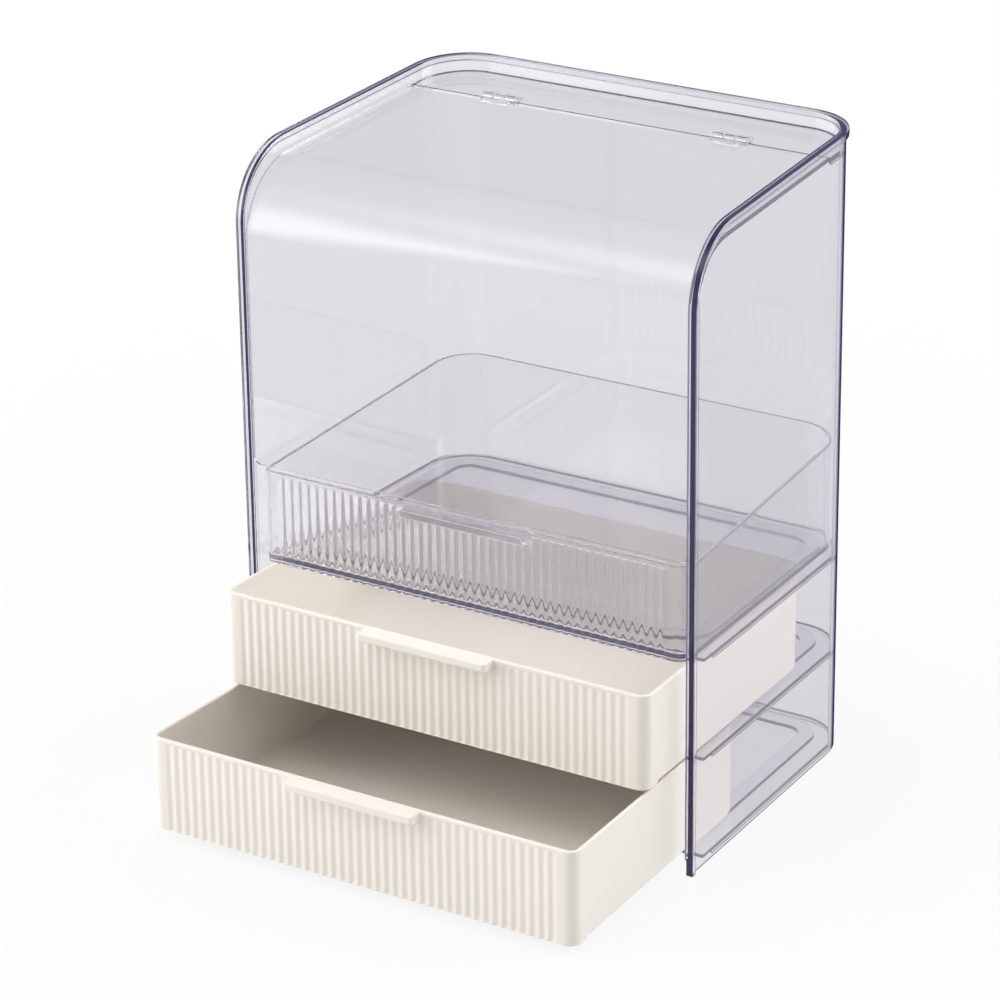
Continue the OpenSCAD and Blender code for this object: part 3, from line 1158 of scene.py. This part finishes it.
    def handle(self) -> bpy.types.Object:
        """Builds the handle bar: flat top, upright front edge and sloping underside.

        Returns:
            The bar as its own closed mesh.
        """
        top = self.base_z + self.height
        root, tip = self.face_y + self.groove + self.wall / 2, self.face_y - self.handle_d
        half, r = self.handle_l / 2, self.handle_r
        plan = [(half, root)]
        for i in range(self.handle_facets + 1):
            a = -math.pi / 2 * i / self.handle_facets
            plan.append((half - r + r * math.cos(a), tip + r + r * math.sin(a)))
        plan += [(-x, y) for x, y in reversed(plan)]
        verts: list[Point] = []
        for x, y in plan:
            share = min(max((y - tip) / (self.face_y - tip), 0.0), 1.0)
            under = self.handle_t + (self.handle_root - self.handle_t) * share
            verts += [(x, y, top), (x, y, top - under)]
        n = len(plan)
        faces: list[Sequence[int]] = [
            (2 * i, 2 * ((i + 1) % n), 2 * ((i + 1) % n) + 1, 2 * i + 1) for i in range(n)
        ]
        faces.append([2 * i for i in range(n)])
        faces.append([2 * i + 1 for i in reversed(range(n))])
        bar = object_from(f"{self.node}_bar", verts, faces)
        return bevelled(bar, self.handle_edge, self.edge_facets, SOFT_TURN)

    def fluted(self, tray: bpy.types.Object) -> bpy.types.Object:
        """Cuts the flutes into the tray's face.

        Args:
            tray: The tray with an even face.

        Returns:
            The same object.
        """
        tree = fluting_tree()
        ids = {s.name: s.identifier for s in tree.interface.items_tree if s.in_out == "INPUT"}
        cut = tray.modifiers.new("fluting", "NODES")
        cut.node_group = tree
        for name, value in (
            ("Pitch", self.pitch * MM),
            ("Depth", self.groove * MM),
            ("Half Width", self.flutes * self.pitch / 2 * MM + FACE_NEAR),
            ("Face Y", self.face_y * MM),
            ("Top Z", (self.base_z + self.height - self.band) * MM),
            ("Fade", self.fade * MM),
            ("Finish", self.finish.material()),
        ):
            cut[ids[name]] = value
        return baked(tray)

    def build(self) -> None:
        """Builds the drawer where it stands and ties it to its body."""
        tray = self.fluted(self.body())
        bar = self.handle()
        join = tray.modifiers.new("join", "BOOLEAN")
        join.operation = "UNION"
        join.solver = "EXACT"
        join.object = bar
        baked(tray)
        bpy.data.objects.remove(bar)
        tray.data.transform(Matrix.Translation((0.0, -self.out * MM, 0.0)))
        smoothed(tray, SOFT_TURN)
        placed(tray, self.finish, self.node, self.node)


# -------------------- studio


@dataclass(frozen=True)
class SoftBox:
    """A large soft lamp whose brightness fades towards its edges."""

    name: str
    place: Point
    aim: Point
    width: float
    height: float
    power: float
    soft: Pair = (0.3, 0.3)

    def build(self) -> None:
        """Adds the lamp to the scene."""
        lamp = bpy.data.lights.new(self.name, "AREA")
        lamp.shape = "RECTANGLE"
        lamp.size = self.width
        lamp.size_y = self.height
        lamp.energy = self.power
        sheet = Sheet.blank(lamp)
        spot = sheet.add("ShaderNodeNewGeometry").outputs["Parametric"]
        fades = []
        for axis, soft in zip(sheet.parts(spot), self.soft):
            away = sheet.math("MINIMUM", axis, sheet.math("SUBTRACT", 1.0, axis))
            fades.append(sheet.ramp(away, (0.0, soft), smooth=True))
        glow = sheet.add("ShaderNodeEmission", {"Strength": sheet.math("MULTIPLY", *fades)})
        sheet.add("ShaderNodeOutputLight", {"Surface": glow.outputs[0]})
        obj = bpy.data.objects.new(self.name, lamp)
        obj.location = self.place
        way = Vector(self.aim) - Vector(self.place)
        obj.rotation_euler = way.to_track_quat("-Z", "Y").to_euler()
        bpy.context.scene.collection.objects.link(obj)


@dataclass
class Studio:
    """Pale floor, soft lamps, white surroundings and the camera.

    ambient is the light of the surroundings on the object, less by the share flag
    towards flag_way. backdrop is how bright they look behind clear plastic and in
    reflections, and ceiling the same overhead. inner is for light that goes in
    through the clear walls. floor_lift is the share of white in the floor that is
    seen, near the object and far from it.
    """

    eye: Point = (0.98633, -1.61273, 0.93257)
    turn: Point = (67.1356, 0.6833, 32.0556)
    lens: float = 149.78
    sensor: float = 36.0
    reach: float = 20.0
    ambient: float = 0.79
    ceiling: float = 0.5
    horizon: Pair = (0.1, 0.5)
    flag: float = 0.6
    flag_way: Point = (0.62, -0.78, 0.0)
    flag_span: Pair = (0.3, 0.9)
    backdrop: float = 0.93
    inner: float = 1.5
    floor_rings: tuple[float, ...] = (600.0, 1200.0, 2400.0)
    floor_sides: int = 64
    floor_grey: float = 0.74
    floor_span: Pair = (0.25, 0.8)
    floor_lift: Pair = (0.87, 1.0)
    floor_z: float = -0.2
    lamps: tuple[SoftBox, ...] = (
        SoftBox(
            "left_softbox", (-1.50, -0.83, 0.62), (-0.09, -0.08, 0.07), 2.12, 1.9, 34.5, (0.09, 0.4)
        ),
        SoftBox("right_softbox", (1.25, 0.9, 0.95), (0.0, 0.0, 0.15), 1.4, 1.2, 28.0),
        SoftBox("high_softbox", (-0.35, -0.97, 1.62), (0.0, 0.0, 0.15), 2.0, 1.6, 23.0, (0.5, 0.5)),
    )

    def build(self) -> None:
        """Builds the whole studio."""
        self.surroundings()
        self.floor()
        self.camera()
        for lamp in self.lamps:
            lamp.build()

    @staticmethod
    def seen(sheet: Sheet) -> Socket:
        """Returns 1 for rays that show the surroundings and 0 for rays that light the object."""
        rays = sheet.add("ShaderNodeLightPath").outputs
        shown = sheet.math("MAXIMUM", rays["Is Glossy Ray"], rays["Is Transmission Ray"])
        return sheet.math("MAXIMUM", rays["Is Camera Ray"], shown)

    def shown(self, sheet: Sheet, backdrop: Socket | float) -> Socket:
        """Sets how bright the surroundings look.

        Args:
            sheet: Nodes of the world or the floor.
            backdrop: Brightness behind clear plastic and in reflections.

        Returns:
            1 for the camera, backdrop through the plastic, and inner for light
            that goes in through the clear walls and would be lost on the way.
        """
        rays = sheet.add("ShaderNodeLightPath").outputs
        lit = sheet.math("GREATER_THAN", rays["Diffuse Depth"], 0.5)
        direct = sheet.math("MAXIMUM", backdrop, rays["Is Camera Ray"])
        return sheet.math("MAXIMUM", direct, sheet.math("MULTIPLY", lit, self.inner))

    def surroundings(self) -> None:
        """Builds white surroundings that light the object softly."""
        world = bpy.data.worlds.new("white_surroundings")
        bpy.context.scene.world = world
        sheet = Sheet.blank(world)
        way = sheet.coords("Generated")
        wall = sheet.ramp(
            sheet.parts(way)[2], self.horizon, (self.backdrop, self.ceiling), smooth=True
        )
        aside = sheet.add(
            "ShaderNodeVectorMath", {0: way, 1: self.flag_way}, operation="DOT_PRODUCT"
        ).outputs["Value"]
        flagged = sheet.ramp(aside, self.flag_span, (0.0, -self.flag * self.ambient), smooth=True)
        ambient = sheet.math("ADD", self.ambient, flagged)
        gain = sheet.math("SUBTRACT", self.shown(sheet, wall), ambient)
        strength = sheet.math("MULTIPLY_ADD", self.seen(sheet), gain, ambient)
        light = sheet.add("ShaderNodeBackground", {"Color": WHITE, "Strength": strength})
        sheet.add("ShaderNodeOutputWorld", {"Surface": light.outputs[0]})

    def floor(self) -> None:
        """Builds a round pale floor that keeps the object's shadow."""
        n = self.floor_sides
        turns = [2 * math.pi * i / n for i in range(n)]
        verts: list[Point] = [
            (r * math.cos(a), r * math.sin(a), 0.0) for r in self.floor_rings for a in turns
        ]
        faces: list[Sequence[int]] = [list(range(n))]
        for k in range(len(self.floor_rings) - 1):
            for i in range(n):
                j = (i + 1) % n
                faces.append((k * n + i, k * n + j, (k + 1) * n + j, (k + 1) * n + i))
        floor = object_from("studio_floor", verts, faces)
        if floor.data.polygons[0].normal.z < 0:
            floor.data.flip_normals()
        material = bpy.data.materials.new("pale_floor")
        sheet = Sheet.blank(material)
        place = sheet.coords("Object")
        far = sheet.add("ShaderNodeVectorMath", {0: place}, operation="LENGTH").outputs["Value"]
        low, high = self.floor_lift
        lift = sheet.math("MULTIPLY_ADD", sheet.ramp(far, self.floor_span), high - low, low)
        share = sheet.math("MULTIPLY", self.seen(sheet), lift)
        matt = sheet.add("ShaderNodeBsdfDiffuse", {"Color": (*[self.floor_grey] * 3, 1.0)})
        glow = sheet.add(
            "ShaderNodeEmission", {"Color": WHITE, "Strength": self.shown(sheet, self.backdrop)}
        )
        mix = sheet.add("ShaderNodeMixShader", {0: share, 1: matt.outputs[0], 2: glow.outputs[0]})
        sheet.add("ShaderNodeOutputMaterial", {"Surface": mix.outputs[0]})
        floor.data.materials.append(material)
        floor.location.z = self.floor_z * MM

    def camera(self) -> None:
        """Places the camera."""
        data = bpy.data.cameras.new("view")
        data.lens = self.lens
        data.sensor_width = self.sensor
        data.clip_end = self.reach
        obj = bpy.data.objects.new("view", data)
        obj.location = self.eye
        obj.rotation_euler = [math.radians(a) for a in self.turn]
        bpy.context.scene.collection.objects.link(obj)
        bpy.context.scene.camera = obj


def main() -> None:
    """Builds every piece in order."""
    logging.basicConfig(level=logging.INFO, format="%(name)s: %(message)s")
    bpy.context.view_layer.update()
    bpy.context.scene.view_settings.view_transform = "Standard"
    Studio().build()
    Casing().build()
    Lid().build()
    Hinges().build()
    Drawer("clear_drawer", DRAWER_FINISH, "clear_drawer", 109.5, rise=10.0).build()
    for node, base_z, out in (("upper_drawer", 57.9, 35.0), ("lower_drawer", 6.3, 99.5)):
        Drawer(node, CREAM_FINISH, "cream_plastic", base_z, out, groove=CREAM_GROOVE).build()


if __name__ == "__main__":
    main()
